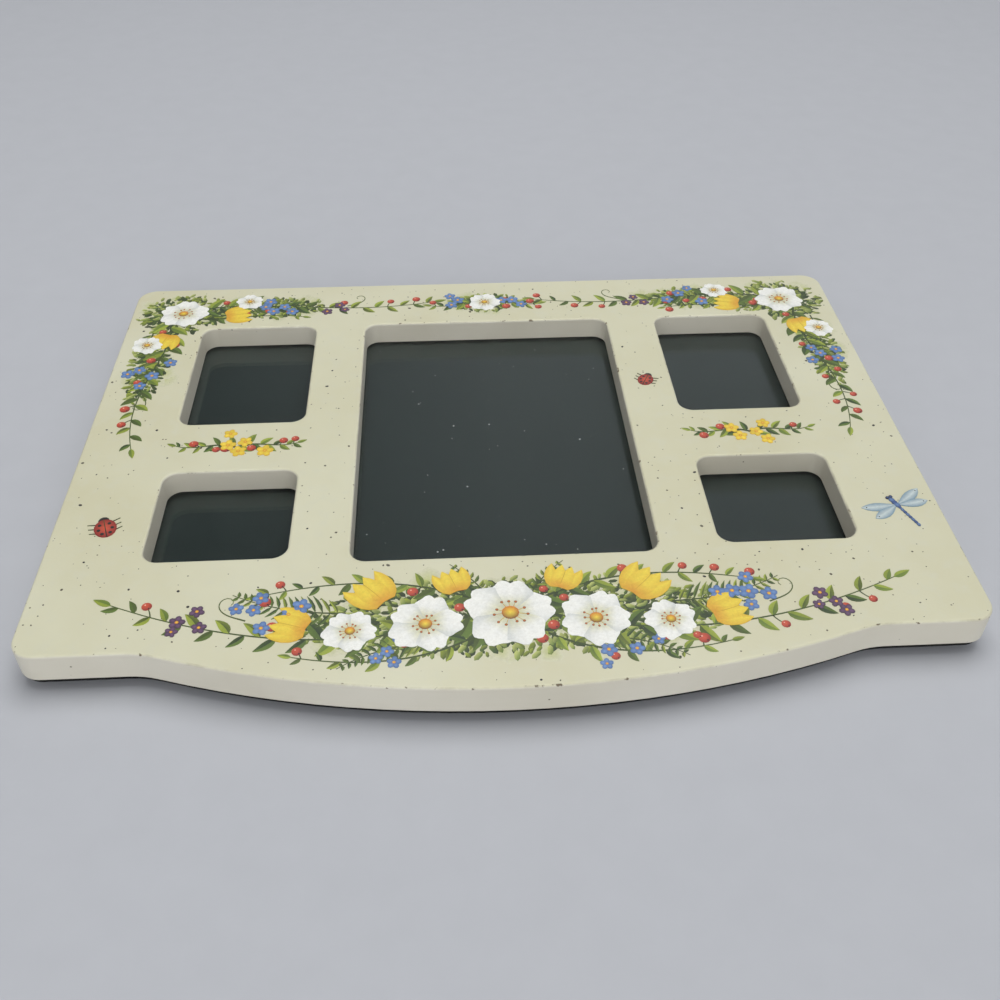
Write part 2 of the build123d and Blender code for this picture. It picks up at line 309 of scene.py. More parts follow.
# Materials
def cream_paint():
    """Satin cream paint: warm on the front face, whiter on the edges, with specks and chipped arrises."""
    surface = Surface("cream_paint", Coat_Weight=0.1, Coat_Roughness=0.3)
    cloud = surface.remap(surface.noise(14, 4, 0.55), 0.35, 0.7)
    front = surface.mix(cloud, GROUND, GROUND_DEEP)
    patch = surface.remap(surface.noise(160, 3, 0.6), 0.5, 0.75, 0.0, 0.5)
    front = surface.mix(patch, front, GROUND_PATCH)
    side = surface.mix(cloud, EDGE_PALE, EDGE_DEEP)
    up = surface.normal_up()
    body = surface.mix(surface.remap(up, 0.35, 0.9), side, front)
    distance, lot = surface.dots(160)
    speck = surface.times(surface.remap(distance, 0.07, 0.04), surface.remap(lot, 0.7, 0.72))
    body = surface.mix(speck, body, FINE_SPECK)
    arris = surface.times(surface.remap(up, 0.1, 0.35), surface.remap(up, 0.99, 0.94))
    grime = surface.times(arris, surface.remap(surface.noise(45, 5, 0.7), 0.5, 0.72, 0.0, 0.5))
    body = surface.mix(grime, body, GRIME)
    chip = surface.times(arris, surface.remap(surface.noise(240, 3, 0.6), 0.63, 0.68))
    surface.colour(surface.mix(chip, body, BARE_WOOD))
    surface.roughness(surface.remap(surface.noise(60, 4), 0.3, 0.7, 0.38, 0.52))
    surface.bump(surface.noise(700, 3, 0.6), PAINT_RELIEF)
    return surface.material


def black_board():
    """Matte black hardboard with a faint fibre grain and a little dust."""
    surface = Surface("black_board", Specular_IOR_Level=0.25)
    fibre = surface.noise(900, 4, 0.7, (1, 0.25, 1))
    dust = surface.remap(surface.noise(35, 5, 0.65), 0.5, 0.85)
    surface.colour(surface.mix(dust, PANEL_BLACK, PANEL_DUST))
    surface.roughness(surface.remap(fibre, 0.3, 0.7, 0.6, 0.85))
    surface.bump(fibre, PANEL_RELIEF)
    return surface.material


def backing_card():
    """Charcoal backing card, finer than the back panel, as seen through the glass."""
    surface = Surface("backing_card", Specular_IOR_Level=0.2)
    fibre = surface.noise(1600, 3, 0.6)
    surface.colour(surface.mix(surface.remap(fibre, 0.35, 0.7), CARD_DEEP, CARD_PALE))
    surface.roughness(surface.remap(fibre, 0.3, 0.7, 0.7, 0.9))
    surface.bump(fibre, CARD_RELIEF)
    return surface.material


def clear_glass():
    """Clear low-glare glass with a faint smear: it reflects about half of what plain glass does."""
    surface = Surface("clear_glass", Transmission_Weight=1.0, IOR=1.33)
    surface.colour(GLASS_TINT)
    surface.roughness(surface.remap(surface.noise(28, 4, 0.6), 0.45, 0.75, 0.01, 0.03))
    return surface.material


def zinc_steel():
    """Zinc-plated steel, with a mottled bright finish."""
    surface = Surface("zinc_steel", Metallic=1.0)
    spangle = surface.remap(surface.noise(420, 3, 0.6), 0.35, 0.7)
    surface.colour(surface.mix(spangle, ZINC_GREY, ZINC_PALE))
    surface.roughness(surface.remap(surface.noise(700, 3, 0.6, (1, 0.2, 1)), 0.3, 0.7, 0.26, 0.45))
    surface.bump(surface.noise(1200, 2, 0.5, (1, 0.15, 1)), ZINC_RELIEF)
    return surface.material


def black_rubber():
    """Dull black rubber, a little dusty."""
    surface = Surface("black_rubber", Specular_IOR_Level=0.4)
    grain = surface.noise(1500, 3, 0.6)
    dust = surface.remap(surface.noise(300, 4), 0.5, 0.8)
    surface.colour(surface.mix(dust, RUBBER_BLACK, RUBBER_DUST))
    surface.roughness(surface.remap(grain, 0.3, 0.7, 0.65, 0.85))
    surface.bump(grain, RUBBER_RELIEF)
    return surface.material


def pigment():
    """Acrylic paint: the colour comes from each stroke, and the brush streaks it."""
    surface = Surface("pigment", Coat_Weight=0.1, Coat_Roughness=0.3)
    stroke = surface.nodes.new("ShaderNodeVertexColor")
    stroke.layer_name = "pigment"
    streak = surface.remap(surface.noise(1000, 3, 0.7), 0.35, 0.72, 0.0, 0.28)
    surface.colour(surface.mix(streak, stroke.outputs["Color"], BRUSH_STREAK, "MULTIPLY"))
    surface.roughness(surface.remap(surface.noise(500, 3), 0.3, 0.7, 0.38, 0.54))
    surface.bump(surface.noise(1300, 3, 0.6), PIGMENT_RELIEF)
    return surface.material


def finish_cad_nodes():
    """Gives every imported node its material, by how its name starts."""
    steel = zinc_steel()
    looks = {
        "front_board": cream_paint(),
        "back_panel": black_board(),
        "backing": backing_card(),
        "glass": clear_glass(),
        "bumper": black_rubber(),
    }
    for name, node in frame["nodes"].items():
        look = next((material for start, material in looks.items() if name.startswith(start)), steel)
        for slot in node.material_slots:
            slot.material = look


# Where paint may go
def bottom_edge(x):
    """The board's lower edge at x."""
    if abs(x) >= BOW_HALF:
        return BOARD_LOW.y + BOW_DROP
    return BOARD_LOW.y + BOW_RADIUS - math.sqrt(BOW_RADIUS ** 2 - x * x)


def on_board(x, y, margin=EDGE_MARGIN):
    """Whether a point is on the front face, at least margin from its edges and windows."""
    if abs(x) > BOARD_HIGH.x - margin or y > BOARD_HIGH.y - margin or y < bottom_edge(x) + margin:
        return False
    for low, high in WINDOWS:
        if low.x - margin < x < high.x + margin and low.y - margin < y < high.y + margin:
            return False
    return True


# Paint strokes
class Paint:
    """Thick paint on a level surface. Every stroke is a thin closed shell, coloured corner by corner.

    The strokes come from pots. Each pot becomes a piece of its own, so that like colours stay together.
    """

    def __init__(self, level, seed):
        self.level = level
        self.chance = random.Random(seed)
        self.pots = {}

    def use(self, pot):
        """Takes the next strokes from this pot."""
        self.vertices, self.faces, self.colours = self.pots.setdefault(pot, ([], [], []))

    def varied(self, colour, amount):
        """A colour a little lighter or darker than the one given."""
        factor = 1 + self.chance.uniform(-amount, amount)
        return tuple(part * factor for part in colour)

    def point(self, x, y, height):
        self.vertices.append(MM * (LAYOUT_POINT + Vector((x, y, self.level + height))))
        return len(self.vertices) - 1

    def face(self, corners, colours):
        self.faces.append(corners)
        self.colours.extend(colours)

    def close(self, rim, places, colours):
        """Walls from a rim down into the surface, and a floor below."""
        low = [self.point(x, y, -PAINT_SUNK) for x, y in places]
        for i in range(len(rim)):
            j = (i + 1) % len(rim)
            self.face((low[i], low[j], rim[j], rim[i]), (colours[i], colours[j], colours[j], colours[i]))
        self.face(tuple(reversed(low)), tuple(reversed(colours)))

    def strip(self, rows, lift, dome, shade):
        """A stroke from rows of points across it. shade(u, v, side) gives its colour along and across."""
        last, wide = len(rows) - 1, len(rows[0]) - 1
        rows = [rounded_end(rows[0], rows[1])] + rows[1:-1] + [rounded_end(rows[-1], rows[-2])]
        grid = []
        for i, row in enumerate(rows):
            crown = dome * math.sin(math.pi * i / last)
            heights = [lift + crown * (1 - (2 * j / wide - 1) ** 2) for j in range(wide + 1)]
            grid.append([self.point(x, y, height) for (x, y), height in zip(row, heights)])
        for i in range(last):
            for j in range(wide):
                corners = ((i, j), (i, j + 1), (i + 1, j + 1), (i + 1, j))
                side = 1 if 2 * j >= wide else -1
                tints = [shade(a / last, 2 * b / wide - 1, side) for a, b in corners]
                self.face(tuple(grid[a][b] for a, b in corners), tints)
        loop = [(0, j) for j in range(wide)] + [(i, wide) for i in range(last)]
        loop += [(last, j) for j in range(wide, 0, -1)] + [(i, 0) for i in range(last, 0, -1)]
        edge = [shade(a / last, 2 * b / wide - 1, 1 if b else -1) for a, b in loop]
        self.close([grid[a][b] for a, b in loop], [rows[a][b] for a, b in loop], edge)

    def disc(self, x, y, radius, lift, dome, shade, sides=10, stretch=1.0, turn=0.0, rings=1, uneven=0.0):
        """A round or oval dab. shade(r, angle) gives its colour from the middle, r = 0, to the rim."""
        angles = [2 * math.pi * k / sides for k in range(sides)]
        reaches = [radius * (1 + self.chance.uniform(-uneven, uneven)) for angle in angles]
        cos, sin = math.cos(turn), math.sin(turn)
        middle = self.point(x, y, lift + dome)
        inner = [middle] * sides
        inner_tints = [shade(0.0, 0.0)] * sides
        for ring in range(1, rings + 1):
            r = ring / rings
            places = []
            for reach, angle in zip(reaches, angles):
                along, over = r * reach * stretch * math.cos(angle), r * reach * math.sin(angle)
                places.append((x + along * cos - over * sin, y + along * sin + over * cos))
            outer = [self.point(px, py, lift + dome * (1 - r * r)) for px, py in places]
            outer_tints = [shade(r, angle + turn) for angle in angles]
            for k in range(sides):
                n = (k + 1) % sides
                corners = (inner[k], outer[k], outer[n], inner[n])
                tints = (inner_tints[k], outer_tints[k], outer_tints[n], inner_tints[n])
                used = 3 if ring == 1 else 4
                self.face(corners[:used], tints[:used])
            inner, inner_tints = outer, outer_tints
        self.close(inner, places, inner_tints)

    def dot(self, x, y, radius, lift, middle, rim, sides=7):
        """A small round dab that shades from its middle to its rim."""
        self.disc(x, y, radius, lift, DOT_DOME, lambda r, angle: blend(middle, rim, r), sides)

    def build(self, material):
        """Makes one mesh object of each pot, which moves with the frame."""
        for pot, (vertices, faces, colours) in self.pots.items():
            mesh = bpy.data.meshes.new(pot)
            mesh.from_pydata(vertices, [], faces)
            layer = mesh.color_attributes.new("pigment", "FLOAT_COLOR", "CORNER")
            layer.data.foreach_set("color", [part for colour in colours for part in (*colour, 1.0)])
            mesh.materials.append(material)
            mesh.update()
            piece = bpy.data.objects.new(pot, mesh)
            bpy.context.scene.collection.objects.link(piece)
            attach(piece, "frame")


# Colours of the painted flowers
DEEP_GREEN = tone(36, 54, 30)
OLIVE = tone(70, 84, 34)
LEAF_GREEN = tone(92, 116, 44)
SPRING_GREEN = tone(152, 166, 58)
PALE_GREEN = tone(186, 192, 112)
STEM_GREEN = tone(52, 66, 30)
WHITE = tone(246, 246, 240)
SHADE_WHITE = tone(200, 204, 202)
THROAT = tone(204, 200, 126)
YELLOW = tone(240, 214, 72)
GOLD = tone(216, 164, 40)
ORANGE = tone(214, 124, 40)
BROWN = tone(120, 62, 28)
CORAL = tone(206, 86, 60)
DEEP_RED = tone(138, 40, 34)
BLUE = tone(112, 146, 196)
DEEP_BLUE = tone(62, 92, 150)
PLUM = tone(112, 80, 116)
INK = tone(34, 32, 30)
BERRY_SHINE = tone(250, 222, 205)
WING_PALE = tone(206, 216, 214)
WING_EDGE = tone(122, 150, 168)
DUST_GREY = tone(180, 184, 182)
SPECK_TONES = [INK, tone(78, 70, 52), tone(96, 92, 74)]
GREENS = [(LEAF_GREEN, DEEP_GREEN), (SPRING_GREEN, OLIVE), (LEAF_GREEN, OLIVE), (SPRING_GREEN, LEAF_GREEN)]

# The painted light comes from the upper left: its direction, in radians from +X
LIT_FROM = 2.3


# Points and lines
def moved(x, y, heading, distance):
    """A point at a distance along a heading."""
    return x + math.cos(heading) * distance, y + math.sin(heading) * distance


def spine(x, y, heading, length, bend, steps):
    """Points and headings along an arc."""
    places = []
    for step in range(steps + 1):
        angle = heading + bend * (step / steps - 0.5)
        places.append((x, y, angle))
        x, y = moved(x, y, angle, length / steps)
    return places


def curve(points, steps):
    """Points and headings along a Bezier curve with four control points."""
    a, b, c, d = [Vector(point) for point in points]
    places = []
    for step in range(steps + 1):
        t = step / steps
        s = 1 - t
        place = s ** 3 * a + 3 * s * s * t * b + 3 * s * t * t * c + t ** 3 * d
        along = s * s * (b - a) + 2 * s * t * (c - b) + t * t * (d - c)
        places.append((place.x, place.y, math.atan2(along.y, along.x)))
    return places


def crosswise(place, half, columns):
    """Points across a stroke at one place, left to right."""
    x, y, angle = place
    sides = [2 * j / (columns - 1) - 1 for j in range(columns)]
    return [(x + math.sin(angle) * half * v, y - math.cos(angle) * half * v) for v in sides]


def rounded_end(row, inner):
    """The end row of a stroke, bowed a little away from the row inside it."""
    near, far = [(Vector(line[0]) + Vector(line[-1])) / 2 for line in (inner, row)]
    heading = math.atan2(far.y - near.y, far.x - near.x)
    last = len(row) - 1
    return [moved(*point, heading, END_BOW * (1 - (2 * j / last - 1) ** 2)) for j, point in enumerate(row)]


# Strokes and flowers
def stem(paint, places, thick, thin, lift, colour):
    """A tapering line of paint."""
    last = len(places) - 1
    halves = [(thick + (thin - thick) * i / last) / 2 for i in range(last + 1)]
    rows = [crosswise(place, half, 2) for place, half in zip(places, halves)]
    paint.strip(rows, lift, 0.0, lambda u, v, side: blend(colour, LEAF_GREEN, 0.4 * u))


def leaf(paint, x, y, heading, length, width, lift, greens, bend=0.0, steps=6):
    """A leaf with a light and a dark half, left out where it would leave the board."""
    rows = []
    for i, place in enumerate(spine(x, y, heading, length, bend, steps)):
        half = LEAF_ROOT + width / 2 * math.sin(math.pi * (i / steps) ** 0.78) ** 0.9
        rows.append(crosswise(place, half, 3))
    if not all(on_board(*point) for row in rows for point in row):
        return
    light, dark = [paint.varied(colour, 0.18) for colour in greens]

    def shade(u, v, side):
        lit = 0.55 + 0.45 * u if side < 0 else 0.35 * u - 0.1
        return blend(dark, light, lit + 0.25 * abs(v))

    paint.use("painted_leaves")
    paint.strip(rows, lift + paint.chance.uniform(0, 0.03), 0.02, shade)


def berry(paint, x, y, radius):
    """A round berry, lit from the upper left."""
    lift = BERRY_LIFT + paint.chance.uniform(0, 0.005)

    def shade(r, angle):
        return blend(CORAL, DEEP_RED, r * (0.6 - 0.5 * math.cos(angle - LIT_FROM)))

    paint.use("painted_berries")
    paint.disc(x, y, radius, lift, 0.03, shade, sides=12)
    paint.dot(x - radius * 0.32, y + radius * 0.36, radius * 0.22, lift + 0.03, BERRY_SHINE, CORAL)
    paint.dot(x + radius * 0.45, y - radius * 0.5, radius * 0.16, lift + 0.025, INK, INK, sides=6)


def branch(paint, points, leaves, longest, berries):
    """A stem with leaves on alternate sides, shorter towards its tip, and now and then a berry."""
    chance = paint.chance
    places = curve(points, 4 * leaves)
    paint.use("painted_stems")
    stem(paint, places[::2], *BRANCH_STEM, STEM_LIFT, STEM_GREEN)
    for k in range(leaves):
        u = (k + 0.5) / leaves
        x, y, angle = places[4 * k + 2]
        way = 1 if k % 2 else -1
        length = longest * (1 - 0.5 * u) * chance.uniform(0.85, 1.12)
        heading = angle + way * chance.uniform(0.55, 0.95)
        width = length * chance.uniform(0.34, 0.44)
        leaf(paint, x, y, heading, length, width, LEAF_LIFT, chance.choice(GREENS), -0.5 * way)
        if chance.random() < berries:
            stalk = spine(x, y, angle - way * chance.uniform(0.7, 1.2), longest * 0.42, 0.5 * way, 4)
            if on_board(stalk[-1][0], stalk[-1][1], BERRY_ROOM):
                paint.use("painted_stems")
                stem(paint, stalk, *BERRY_STALK, STEM_LIFT, STEM_GREEN)
                berry(paint, stalk[-1][0], stalk[-1][1], chance.uniform(*BERRY_RADII))
    leaf(paint, *places[-1], longest * 0.55, longest * 0.2, LEAF_LIFT, GREENS[3])


def fern(paint, x, y, heading, length, bend):
    """A frond of narrow leaflets in pairs, shorter towards the tip."""
    pairs = int(length / FERN_PAIR_SPACING)
    places = spine(x, y, heading, length, bend, pairs)
    paint.use("painted_stems")
    stem(paint, places, *FERN_STEM, STEM_LIFT, STEM_GREEN)
    for k in range(1, pairs):
        size = length * 0.26 * (1 - 0.8 * k / pairs) * (0.55 + 0.45 * min(1.0, k / 3))
        px, py, angle = places[k]
        for way in (-1, 1):
            greens = paint.chance.choice(GREENS[:3])
            heading = angle + 0.95 * way
            leaf(paint, px, py, heading, size, FERN_LEAFLET_WIDTH, LEAF_LIFT, greens, -0.4 * way, steps=3)


def petal(paint, x, y, heading, length, width, lift, shade):
    """A broad petal with a rounded tip, notched in the middle."""
    steps, columns = 10, 9
    rows = []
    for i in range(steps + 1):
        u = i / steps
        taper = 1 - 0.34 * (max(0.0, u - 0.5) / 0.5) ** 2
        half = width / 2 * (0.16 + 0.84 * math.sin(math.pi / 2 * min(1.0, 1.35 * u)) * taper)
        row = []
        for j in range(columns):
            v = 2 * j / (columns - 1) - 1
            tip = 1 - 0.9 * max(0.0, abs(v) - 0.5) ** 2 - 0.36 * max(0.0, 0.5 - abs(v)) ** 2
            along = length * u * (1 + (tip - 1) * u * u)
            row.append(moved(*moved(x, y, heading, along), heading - math.pi / 2, half * v))
        rows.append(row)
    paint.strip(rows, lift, 0.04, shade)


def blossom(paint, x, y, size):
    """A white five-petalled blossom with a warm heart and a ring of stamens."""
    chance = paint.chance
    turn = chance.uniform(0, 1.25)
    petals, stamens = 5, 11
    paint.use("painted_blossoms")
    for k in range(petals):
        heading = turn + k * 2 * math.pi / petals + chance.uniform(-0.08, 0.08)
        cast = chance.uniform(0.55, 0.95)

        def shade(u, v, side):
            tint = blend(THROAT, WHITE, 2.2 * u - 0.25)
            vein = 0.2 * (1 - math.cos(4 * math.pi * v)) * (1 - u)
            dim = cast * max(0.0, v) ** 2 * (1 - 0.4 * u) + 0.25 * (1 - u) ** 2
            return blend(tint, SHADE_WHITE, dim + vein)

        reach = size / 2 * chance.uniform(0.92, 1.04)
        width = reach * chance.uniform(0.98, 1.12)
        petal(paint, x, y, heading, reach, width, BLOSSOM_LIFT + 0.012 * k, shade)
    paint.use("painted_hearts")
    for k in range(stamens):
        angle = turn + 0.3 + k * 2 * math.pi / stamens + chance.uniform(-0.12, 0.12)
        near, far = moved(x, y, angle, size * 0.08), moved(x, y, angle, size * chance.uniform(0.14, 0.19))
        stem(paint, [(*near, angle), (*far, angle)], *STAMEN_STEM, HEART_LIFT, GOLD)
        paint.dot(*far, size * 0.016 + 0.08, HEART_LIFT + 0.01, ORANGE, BROWN, sides=6)

    def heart(r, angle):
        return blend(YELLOW, blend(ORANGE, BROWN, 0.5 - 0.6 * math.sin(angle)), r)

    paint.disc(x, y, size * 0.095, HEART_LIFT + 0.012, 0.04, heart, sides=12)


# The petals of a tulip from the side, two behind and two in front: lean, bend and share of its length
TULIP_PETALS = ((0.42, -0.9, 1.0), (-0.42, 0.9, 1.0), (0.14, -0.3, 0.9), (-0.14, 0.3, 0.9))


def tulip(paint, x, y, heading, size):
    """A yellow tulip seen from the side."""
    lift = BLOOM_LIFT + paint.chance.uniform(0, 0.01)
    steps = 7
    paint.use("painted_tulips")
    for k, (lean, bend, reach) in enumerate(TULIP_PETALS):
        rows = []
        for i, place in enumerate(spine(x, y, heading + lean, size * reach, bend, steps)):
            half = 0.1 + size * 0.24 * math.sin(math.pi * (i / steps) ** 0.62) ** 0.8
            rows.append(crosswise(place, half, 5))
        deep = 0.6 if k < 2 else 0.3

        def shade(u, v, side):
            return blend(blend(ORANGE, YELLOW, 1.9 * u + 0.2), GOLD, deep * abs(v) + 0.15 * (1 - u))

        paint.strip(rows, lift + 0.01 * k, 0.02, shade)
    vein = spine(*moved(x, y, heading, size * 0.12), heading, size * 0.6, 0.1, 4)
    stem(paint, vein, *TULIP_VEIN, lift + 0.055, GOLD)


def small_bloom(paint, x, y, size, light, dark):
    """A small round flower of five dabs."""
    petals = 5
    turn = paint.chance.uniform(0, 6.28)
    lift = BLOOM_LIFT + paint.chance.uniform(0, 0.015)
    paint.use("painted_small_blooms")
    for k in range(petals):
        angle = turn + k * 2 * math.pi / petals
        colour = paint.varied(light, 0.15)
        tint = lambda r, turned: blend(colour, dark, 0.6 * r)
        place = moved(x, y, angle, size * 0.29)
        paint.disc(*place, size * 0.2, lift + 0.004 * k, 0.015, tint, sides=8, stretch=1.15, turn=angle)
    paint.dot(x, y, size * 0.12, lift + 0.04, YELLOW, ORANGE)


def bloom_cluster(paint, x, y, count, spread, size, light, dark):
    """Small flowers close together, without overlapping much."""
    tries_each = 12
    placed = []
    for attempt in range(count * tries_each):
        px, py = x + paint.chance.gauss(0, spread), y + paint.chance.gauss(0, spread * 0.7)
        apart = all(math.hypot(px - qx, py - qy) > size * 0.85 for qx, qy in placed)
        if apart and on_board(px, py, size * 0.6 + EDGE_MARGIN):
            placed.append((px, py))
            small_bloom(paint, px, py, size * paint.chance.uniform(0.85, 1.15), light, dark)
        if len(placed) == count:
            break


# Dabs of foliage, from the first laid to the last: light side and dark side
DAB_GREENS = [
    (OLIVE, DEEP_GREEN),
    (LEAF_GREEN, DEEP_GREEN),
    (OLIVE, DEEP_GREEN),
    (SPRING_GREEN, OLIVE),
    (PALE_GREEN, LEAF_GREEN),
]


def wash(paint, x, y, radius, turn, green):
    """Thin green paint that fades into the ground."""
    if on_board(x, y, 1.3 * radius + EDGE_MARGIN):
        lift = WASH_LIFT + paint.chance.uniform(0, 0.02)
        fade = lambda r, turned: blend(green, GROUND, 0.2 + 0.8 * r)
        paint.use("painted_washes")
        paint.disc(x, y, radius, lift, 0.0, fade, sides=14, stretch=1.1, turn=turn, rings=2, uneven=0.2)


def dab(paint, x, y, heading, length, lift, greens):
    """One touch of a pointed brush, lit from the upper left."""
    light, dark = [paint.varied(colour, 0.22) for colour in greens]
    if on_board(x, y, length / 2 + EDGE_MARGIN):
        tint = lambda r, angle: blend(dark, light, 0.5 + 0.6 * r * math.cos(angle - LIT_FROM))
        paint.use("painted_foliage")
        paint.disc(x, y, length * 0.23, lift, 0.006, tint, sides=6, stretch=2.1, turn=heading)


def foliage(paint, x, y, wide, high, count):
    """A mass of green in an oval: washes, then dabs from deep to light that spread out as they go."""
    chance = paint.chance
    dabs_per_wash = 14
    for k in range(count):
        late = k / count
        angle, reach = chance.uniform(0, 2 * math.pi), math.sqrt(chance.random()) * (0.72 + 0.28 * late)
        px, py = x + math.cos(angle) * reach * wide, y + math.sin(angle) * reach * high
        if k % dabs_per_wash == 0:
            green = blend(LEAF_GREEN, PALE_GREEN, 1.4 * reach)
            wash(paint, px, py, chance.uniform(*WASH_RADII), angle, green)
        greens = DAB_GREENS[int(late * len(DAB_GREENS))]
        heading = angle + chance.uniform(-0.9, 0.9)
        dab(paint, px, py, heading, chance.uniform(*DAB_LENGTHS), DAB_LIFT + 0.035 * late, greens)


def tendril(paint, x, y, heading, length, curl):
    """A thin curling line."""
    steps = 18
    places = []
    for step in range(steps + 1):
        places.append((x, y, heading))
        x, y = moved(x, y, heading, length / steps)
        heading += curl * (step / steps) ** 1.6
    if all(on_board(px, py) for px, py, angle in places):
        paint.use("painted_stems")
        stem(paint, places, *TENDRIL_STEM, STEM_LIFT, OLIVE)


def ladybird(paint, x, y, heading, size):
    """A ladybird, head first along its heading."""
    def at(along, over):
        return moved(*moved(x, y, heading, along * size), heading + math.pi / 2, over * size)

    paint.use("painted_insects")
    for along in (-0.22, 0.02, 0.26):
        for side in (-1, 1):
            hip, foot = at(along, 0.2 * side), at(along + 0.12, 0.58 * side)
            angle = math.atan2(foot[1] - hip[1], foot[0] - hip[0])
            stem(paint, [(*hip, angle), (*foot, angle)], *LADYBIRD_LEG, BLOOM_LIFT, INK)
    paint.dot(*at(0.42, 0), size * 0.2, BLOOM_LIFT, INK, INK, sides=10)
    shell = lambda r, angle: blend(CORAL, DEEP_RED, r)
    lift = BLOOM_LIFT + 0.03
    paint.disc(*at(0, 0), size * 0.4, lift, 0.12, shell, sides=16, stretch=1.2, turn=heading, rings=2)
    seam = [(*at(along, 0), heading) for along in (-0.46, 0, 0.44)]
    stem(paint, seam, *LADYBIRD_SEAM, BLOOM_LIFT + 0.16, INK)
    for along, over in ((0.2, 0.17), (-0.05, 0.24), (-0.28, 0.14)):
        for side in (-1, 1):
            paint.dot(*at(along, over * side), size * 0.07, BLOOM_LIFT + 0.13, INK, INK)


def dragonfly(paint, x, y, heading, size):
    """A dragonfly from above: four pale wings and a long blue body."""
    steps, segments = 7, 11
    paint.use("painted_insects")
    for lean, reach in ((1.25, 0.56), (1.78, 0.5)):
        for side in (-1, 1):
            out = heading + side * lean
            root = moved(x, y, out, size * 0.02)
            rows = []
            for i, place in enumerate(spine(*root, out, size * reach, -0.25 * side, steps)):
                half = 0.12 + size * 0.085 * math.sin(math.pi * (i / steps) ** 1.25) ** 0.8
                rows.append(crosswise(place, half, 3))
            tint = lambda u, v, way: blend(WING_PALE, WING_EDGE, 0.85 * abs(v) + 0.3 * (1 - u))
            paint.strip(rows, BLOOM_LIFT + 0.01 * lean, 0.02, tint)
            paint.dot(*rows[-2][1], size * 0.012, BLOOM_LIFT + 0.04, INK, INK, sides=6)
    for k in range(segments):
        colour = blend(BLUE, DEEP_BLUE, 0.35 + 0.6 * (k % 2))
        tint = lambda r, angle: blend(colour, INK, 0.45 * r)
        radius = size * (0.046 if k < 3 else 0.026)
        place = moved(x, y, heading, size * (0.12 - 0.062 * k))
        lift = BLOOM_LIFT + 0.05 + 0.004 * k
        paint.disc(*place, radius, lift, 0.03, tint, sides=8, stretch=1.5, turn=heading)
    for side in (-1, 1):
        eye = moved(*moved(x, y, heading, size * 0.19), heading + math.pi / 2, size * 0.03 * side)
        paint.dot(*eye, size * 0.032, BLOOM_LIFT + 0.12, DEEP_BLUE, INK, sides=8)


# The layout, in millimetres from the layout point. It mirrors about the middle: way is -1 on the left and
# 1 on the right. Headings are in radians from +X.
UP = math.pi / 2


def bottom_swag(paint):
    """Branches spreading both ways along the bow from a bunch of flowers in the middle."""
    foliage(paint, 0, -100, 88, 21, 1500)
    for way in (-1, 1):
        branch(paint, [(way * 8, -97), (way * 45, -114), (way * 92, -113), (way * 146, -88)], 26, 14, 0.45)
        branch(paint, [(way * 10, -93), (way * 34, -80), (way * 60, -78), (way * 92, -86)], 15, 10, 0.25)
        branch(paint, [(way * 4, -102), (way * 22, -120), (way * 50, -123), (way * 78, -116)], 12, 9, 0.2)
        fern(paint, way * 60, -96, UP - way * 1.3, 44, way * 0.5)
        fern(paint, way * 30, -112, UP - way * 1.9, 34, -way * 0.6)
        fern(paint, way * 8, -90, UP - way * 0.7, 22, -way * 0.4)
        tendril(paint, way * 96, -98, UP - way * 1.2, 24, way * 0.9)
        tulip(paint, way * 46, -91, UP - way * 0.75, 17)
        tulip(paint, way * 19, -87, UP - way * 0.35, 13)
        tulip(paint, way * 74, -103, UP - way * 1.25, 15)
        bloom_cluster(paint, way * 90, -94, 6, 6, 6.5, BLUE, DEEP_BLUE)
        bloom_cluster(paint, way * 45, -117, 4, 6, 5.5, BLUE, DEEP_BLUE)
        bloom_cluster(paint, way * 114, -100, 4, 5, 5.5, PLUM, INK)
        blossom(paint, way * 31, -103, 27)
        blossom(paint, way * 58, -105, 20)
    blossom(paint, 0, -99, 34)


def corner_spray(paint, way):
    """A bunch in a top corner, with one branch along the top and one down the side."""
    foliage(paint, way * 151, 111, 25, 20, 420)
    foliage(paint, way * 106, 116, 28, 10, 200)
    foliage(paint, way * 161, 66, 10, 32, 220)
    branch(paint, [(way * 146, 115), (way * 112, 126), (way * 78, 106), (way * 26, 118)], 22, 12, 0.4)
    branch(paint, [(way * 158, 106), (way * 148, 76), (way * 170, 48), (way * 157, 4)], 21, 12, 0.4)
    branch(paint, [(way * 150, 108), (way * 130, 104), (way * 112, 112), (way * 92, 107)], 9, 8, 0.2)
    fern(paint, way * 128, 114, UP + way * 1.5, 40, way * 0.3)
    fern(paint, way * 164, 96, -UP - way * 0.1, 36, -way * 0.3)
    tendril(paint, way * 70, 116, UP + way * 1.2, 20, -way * 0.9)
    tendril(paint, way * 160, 44, -UP - way * 0.5, 20, way * 0.9)
    tulip(paint, way * 130, 109, UP + way * 1.35, 14)
    tulip(paint, way * 156, 93, -UP + way * 0.25, 14)
    bloom_cluster(paint, way * 104, 116, 5, 6, 6, BLUE, DEEP_BLUE)
    bloom_cluster(paint, way * 160, 62, 5, 6, 6, BLUE, DEEP_BLUE)
    bloom_cluster(paint, way * 76, 114, 3, 4, 5, PLUM, INK)
    blossom(paint, way * 152, 112, 25)
    blossom(paint, way * 165, 84, 15)
    blossom(paint, way * 120, 122, 14)


def side_sprig(paint, way):
    """A small sprig between two side windows."""
    middle = way * 112
    for turn in (-1, 1):
        points = [(middle, 3), (middle + turn * 9, 8), (middle + turn * 17, 1), (middle + turn * 26, 5)]
        branch(paint, points, 9, 8, 0.3)
    bloom_cluster(paint, middle, 4, 5, 4, 7, YELLOW, GOLD)


